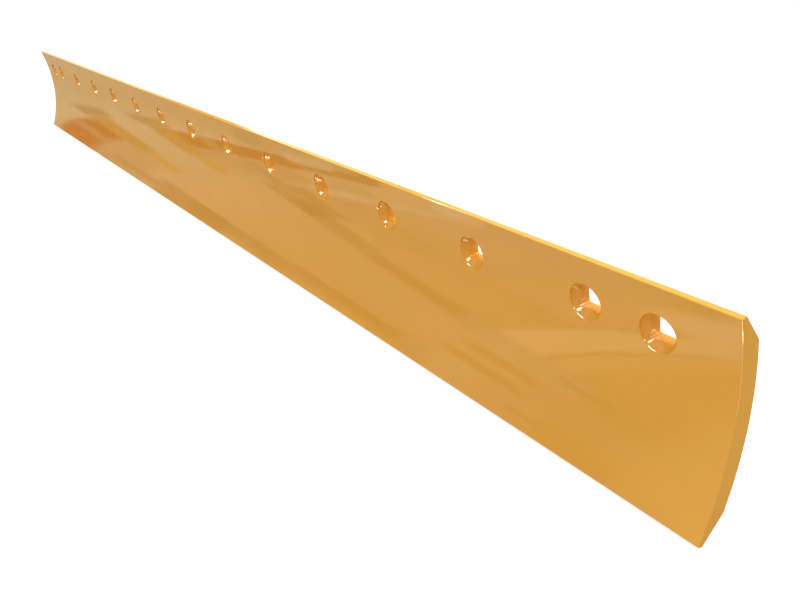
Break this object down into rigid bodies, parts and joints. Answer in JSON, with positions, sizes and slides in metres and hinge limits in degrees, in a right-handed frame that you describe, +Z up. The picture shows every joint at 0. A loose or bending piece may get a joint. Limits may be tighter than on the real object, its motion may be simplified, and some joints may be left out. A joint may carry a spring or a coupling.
{
  "type": "earthmover cutting edge",
  "caption": "Long curved steel cutting edge, bevelled on the back along both long edges, with a row of countersunk square bolt holes near the top.",
  "frame": {"origin": "axis of the middle bolt hole, where it leaves the back face", "axes": "+X along the blade, +Y from the hollow face to the mouldboard behind it, +Z up the blade towards the bolt row"},
  "size_m": [2.1304, 0.0376, 0.2068],
  "materials": {
    "paint": "gloss golden yellow-orange paint"
  },
  "bodies": {
    "root": {"cutting_edge": "paint"}
  },
  "joints": []
}
